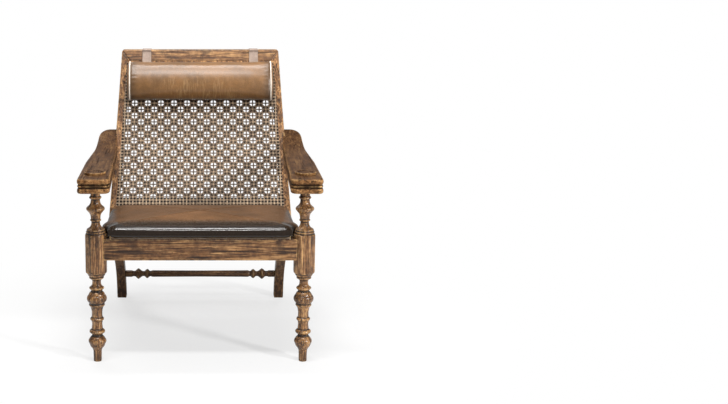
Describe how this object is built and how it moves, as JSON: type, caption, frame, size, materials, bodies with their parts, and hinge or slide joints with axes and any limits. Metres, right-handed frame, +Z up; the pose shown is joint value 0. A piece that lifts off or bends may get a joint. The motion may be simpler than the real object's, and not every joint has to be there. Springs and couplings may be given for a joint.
{
  "type": "planters chair",
  "caption": "Planters chair with turned front legs, a scooped cane back, broad moulded arms, a leather seat and a head roll that hangs from straps over the top rail.",
  "frame": {"origin": "on the floor, under the middle of the chair's overall box", "axes": "+X to the chair's right side as seen from the front, +Y to the rear, +Z up"},
  "size_m": [0.722, 0.8074, 0.9064],
  "materials": {
    "frame_wood": "worn mid-brown hardwood with a waxed sheen",
    "seat_panel": "raw plywood",
    "seat_leather": "aged leather, satin",
    "roll_leather": "aged tan leather, satin",
    "strap_leather": "pale strap leather",
    "cane": "hand-woven split cane",
    "lining": "black woven lining",
    "nail_brass": "aged brass",
    "steel": "plain steel"
  },
  "bodies": {
    "chair": {"front_leg_left": "frame_wood", "front_leg_right": "frame_wood", "rear_post_left": "frame_wood", "rear_post_right": "frame_wood", "front_rail": "frame_wood", "rear_seat_rail": "frame_wood", "side_rail_left": "frame_wood", "side_rail_right": "frame_wood", "top_rail": "frame_wood", "lower_back_rail": "frame_wood", "rear_stretcher": "frame_wood", "arm_left": "frame_wood", "arm_right": "frame_wood", "arm_roundel_left": "frame_wood", "arm_roundel_right": "frame_wood", "corner_blocks": "frame_wood", "back_rail_dowels": "frame_wood", "rear_rail_dowels": "frame_wood", "seat_board": "seat_panel", "seat_pad": "seat_leather", "seat_welt": "seat_leather", "strap_saddle_left": "strap_leather", "strap_saddle_right": "strap_leather", "cane_panel": "cane", "cane_spline": "cane", "dust_cover": "lining", "leather_nails": "nail_brass", "strap_studs": "nail_brass", "corner_block_screws": "steel", "seat_board_screws": "steel", "arm_screws": "steel", "strap_pins": "steel", "dust_cover_tacks": "steel"},
    "headrest": {"head_roll": "roll_leather", "head_roll_piping": "roll_leather", "strap_left": "strap_leather", "strap_right": "strap_leather"}
  },
  "joints": [
    {"name": "headrest_swing", "type": "hinge", "parent": "chair", "child": "headrest", "pos_m": [0, 0.33394, 0.9028], "axis": [-1, 0, 0], "range_deg": [0, 90]}
  ]
}
